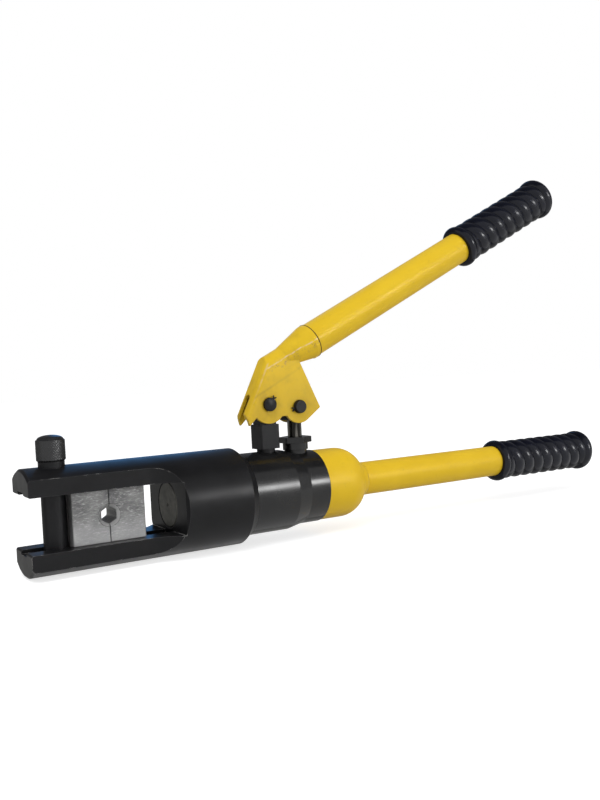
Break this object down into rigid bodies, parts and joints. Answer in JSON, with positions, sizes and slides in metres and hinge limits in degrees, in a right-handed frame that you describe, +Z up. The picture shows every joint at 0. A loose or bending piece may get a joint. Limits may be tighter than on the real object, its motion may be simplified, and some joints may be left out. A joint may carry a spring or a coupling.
{
  "type": "hydraulic crimping tool",
  "caption": "Hand-pumped hydraulic crimping tool: open black jaw with loose hexagon dies and a locking pin, pump body, yellow tube handles with ribbed black grips.",
  "frame": {"origin": "on the surface under the middle of the overall box, below the barrel's axis", "axes": "+X along the barrel from the jaw to the fixed handle, +Z up towards the pump lever"},
  "size_m": [0.5254, 0.07, 0.2877],
  "materials": {
    "head_black": "satin black",
    "pump_black": "black oxide",
    "die_steel": "machined",
    "bright_steel": "ground",
    "yellow_paint": "gloss yellow",
    "grip_black": "gloss",
    "seal_rubber": "matt",
    "valve_brass": "turned"
  },
  "bodies": {
    "barrel": {"jaw_head": "head_black", "pump_body": "pump_black", "body_seal": "seal_rubber", "ram_wiper": "seal_rubber", "ram_return_spring": "bright_steel", "fixed_die": "die_steel", "fulcrum_post": "pump_black", "gland_nut": "pump_black", "plunger_seal": "seal_rubber", "cap_seal": "seal_rubber", "oil_bladder": "seal_rubber", "suction_ball": "bright_steel", "suction_spring": "bright_steel", "suction_screw": "valve_brass", "delivery_ball": "bright_steel", "delivery_spring": "bright_steel", "delivery_plug": "valve_brass", "relief_ball": "bright_steel", "relief_spring": "bright_steel", "relief_screw": "valve_brass"},
    "ram": {"ram": "die_steel", "ram_seal": "seal_rubber"},
    "moving_die": {"moving_die": "die_steel"},
    "die_pin": {"die_pin": "pump_black", "pin_knob": "pump_black"},
    "plunger": {"plunger": "bright_steel"},
    "lever": {"lever_bracket": "yellow_paint", "lever_tube": "yellow_paint", "lever_grip": "grip_black", "fulcrum_pin": "pump_black", "plunger_pin": "pump_black", "split_pins": "pump_black"},
    "handle": {"reservoir_cap": "yellow_paint", "handle_tube": "yellow_paint", "handle_grip": "grip_black", "release_spindle": "bright_steel"}
  },
  "joints": [
    {"name": "lever_pivot", "type": "hinge", "parent": "barrel", "child": "lever", "pos_m": [-0.0821, 0, 0.1], "axis": [0, -1, 0], "range_deg": [-19, 18]},
    {"name": "plunger_slide", "type": "slide", "parent": "barrel", "child": "plunger", "axis": [0, 0, 1], "range_m": [-0.0086, 0.0082]},
    {"name": "ram_slide", "type": "slide", "parent": "barrel", "child": "ram", "axis": [-1, 0, 0], "range_m": [0, 0.013], "stiffness_N_per_m": 1500, "springref_m": -0.012, "deforming": ["ram_return_spring"]},
    {"name": "moving_die_slide", "type": "slide", "parent": "barrel", "child": "moving_die", "axis": [1, 0, 0], "range_m": [0, 0.0075]},
    {"name": "die_pin_pull", "type": "slide", "parent": "barrel", "child": "die_pin", "axis": [0, 0, 1], "range_m": [0, 0.075]},
    {"name": "release_turn", "type": "hinge", "parent": "barrel", "child": "handle", "pos_m": [-0.0437, 0, 0.035], "axis": [1, 0, 0], "range_deg": [0, 90]}
  ],
  "couplings": [
    {"joint": "plunger_slide", "follows": "lever_pivot", "m_per_rad": 0.0255}
  ]
}
